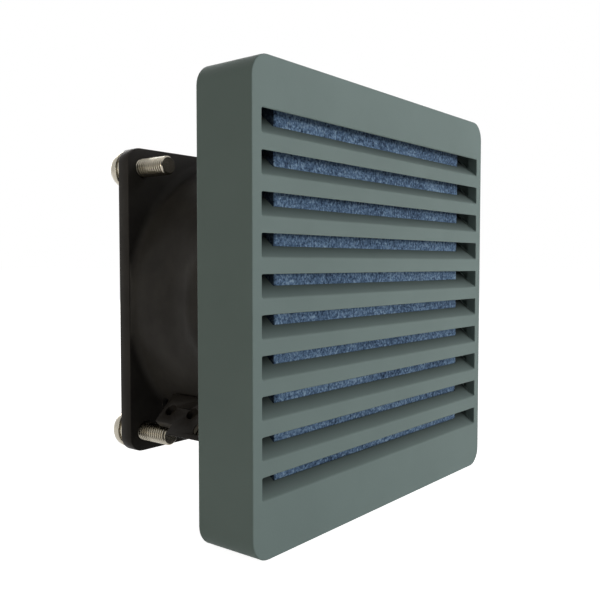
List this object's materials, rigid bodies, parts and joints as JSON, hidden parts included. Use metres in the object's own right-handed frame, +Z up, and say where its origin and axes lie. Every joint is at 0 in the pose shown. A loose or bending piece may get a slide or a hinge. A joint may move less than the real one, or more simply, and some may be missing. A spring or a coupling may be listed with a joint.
{
  "type": "cabinet filter fan",
  "caption": "Square louvred filter fan for an electrical cabinet: grey-green cover over a blue filter mat, black axial fan with corner screws and terminal block behind.",
  "frame": {"origin": "on the fan's axis, in the plane of the cabinet panel's front face, where the gasket and the cover's rim meet it", "axes": "+Y into the cabinet along the fan's axis (the louvred cover faces -Y), +Z up, +X to the right seen from behind the cover looking along +Y"},
  "size_m": [0.105, 0.0634, 0.105],
  "materials": {
    "cover_plastic": "fine matt moulded plastic, grey green",
    "filter_fibre": "speckled non-woven fibre",
    "gasket_foam": "closed-cell foam",
    "frame_plastic": "matt moulded plastic",
    "pawl_plastic": "smooth moulded plastic",
    "black_casting": "satin black paint on die-cast aluminium",
    "impeller_plastic": "satin black glass-filled plastic",
    "cap_plastic": "satin",
    "terminal_plastic": "satin moulded plastic",
    "lead_insulation": "satin extruded insulation",
    "brass": "turned brass",
    "bearing_steel": "ground steel",
    "spring_steel": "tempered steel",
    "screw_steel": "nickel-plated steel",
    "lamination_steel": "stamped sheet stack",
    "cup_steel": "drawn sheet steel",
    "cage_aluminium": "die-cast cage",
    "bobbin_nylon": "natural nylon",
    "copper_winding": "enamelled copper wire"
  },
  "bodies": {
    "frame": {"filter_mat": "filter_fibre", "panel_gasket": "gasket_foam", "base_frame": "frame_plastic", "finger_guard": "frame_plastic", "filter_grid": "frame_plastic", "fan_housing": "black_casting", "motor_spider": "black_casting", "bearing_tube": "brass", "front_bearing": "bearing_steel", "rear_bearing": "bearing_steel", "preload_spring": "spring_steel", "bearing_cap": "cap_plastic", "stator_core": "lamination_steel", "coil_bobbins": "bobbin_nylon", "stator_coils": "copper_winding", "terminal_block": "terminal_plastic", "terminal_inserts": "brass", "terminal_screws": "screw_steel", "motor_leads": "lead_insulation", "rear_screws": "screw_steel", "lock_washers": "spring_steel", "front_screws": "screw_steel", "flange_nuts": "screw_steel"},
    "cover": {"cover": "cover_plastic"},
    "rotor": {"impeller": "impeller_plastic", "rotor_cup": "cup_steel", "rotor_cage": "cage_aluminium", "shaft": "bearing_steel", "retaining_clip": "spring_steel"},
    "pawl_right": {"panel_pawl_right": "pawl_plastic"},
    "pawl_bottom": {"panel_pawl_bottom": "pawl_plastic"},
    "pawl_left": {"panel_pawl_left": "pawl_plastic"},
    "pawl_top": {"panel_pawl_top": "pawl_plastic"}
  },
  "joints": [
    {"name": "impeller_spin", "type": "hinge", "parent": "frame", "child": "rotor", "pos_m": [0, 0.02, 0], "axis": [0, 1, 0], "continuous": true},
    {"name": "cover_pull", "type": "slide", "parent": "frame", "child": "cover", "axis": [0, -1, 0], "range_m": [0, 0.03]},
    {"name": "pawl_right_swing", "type": "hinge", "parent": "frame", "child": "pawl_right", "pos_m": [0.0442, 0.0054, 0], "axis": [0, 0, -1], "range_deg": [0, 18], "stiffness_Nm_per_rad": 0.05, "springref_deg": -11.46},
    {"name": "pawl_bottom_swing", "type": "hinge", "parent": "frame", "child": "pawl_bottom", "pos_m": [0, 0.0054, -0.0442], "axis": [-1, 0, 0], "range_deg": [0, 18], "stiffness_Nm_per_rad": 0.05, "springref_deg": -11.46},
    {"name": "pawl_left_swing", "type": "hinge", "parent": "frame", "child": "pawl_left", "pos_m": [-0.0442, 0.0054, 0], "axis": [0, 0, 1], "range_deg": [0, 18], "stiffness_Nm_per_rad": 0.05, "springref_deg": -11.46},
    {"name": "pawl_top_swing", "type": "hinge", "parent": "frame", "child": "pawl_top", "pos_m": [0, 0.0054, 0.0442], "axis": [1, 0, 0], "range_deg": [0, 18], "stiffness_Nm_per_rad": 0.05, "springref_deg": -11.46}
  ]
}
